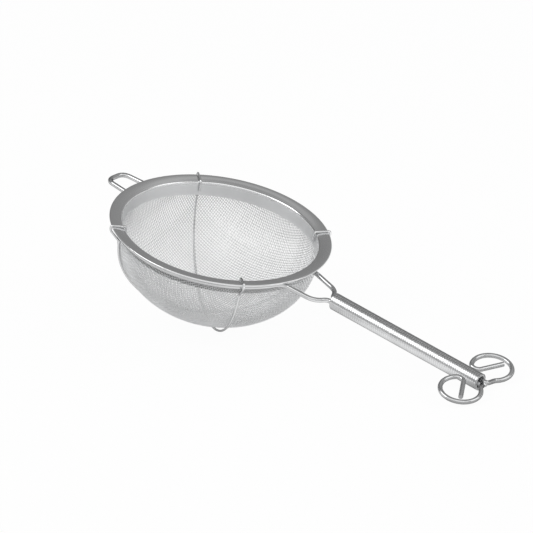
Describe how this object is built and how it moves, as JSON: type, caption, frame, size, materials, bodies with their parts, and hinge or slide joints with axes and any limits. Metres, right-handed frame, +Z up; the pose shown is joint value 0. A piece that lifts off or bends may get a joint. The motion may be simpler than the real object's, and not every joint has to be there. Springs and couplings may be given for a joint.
{
  "type": "kitchen strainer",
  "caption": "Round wire-mesh strainer with a flanged rim, a bent-rod frame with a rest ear, a close-wound spring grip, finger rings and crossing brace wires.",
  "frame": {"origin": "on the table, under the middle of the strainer's box as it rests on its lower brace wire and the outer end of its grip", "axes": "+X along the handle from the bowl to the finger rings, +Z up from the table, +Y to the left of the handle seen from the rings"},
  "size_m": [0.4064, 0.184, 0.1042],
  "materials": {
    "polished_sheet": "polished",
    "drawn_wire": "bright drawn",
    "wire_cloth": "satin woven"
  },
  "bodies": {
    "root": {"rim_ring": "polished_sheet", "clamp_band": "polished_sheet", "mesh_bowl": "wire_cloth", "frame_rod": "drawn_wire", "grip_coil": "drawn_wire", "brace_lower": "drawn_wire", "brace_upper": "drawn_wire", "wedge_pin": "polished_sheet"}
  },
  "joints": []
}
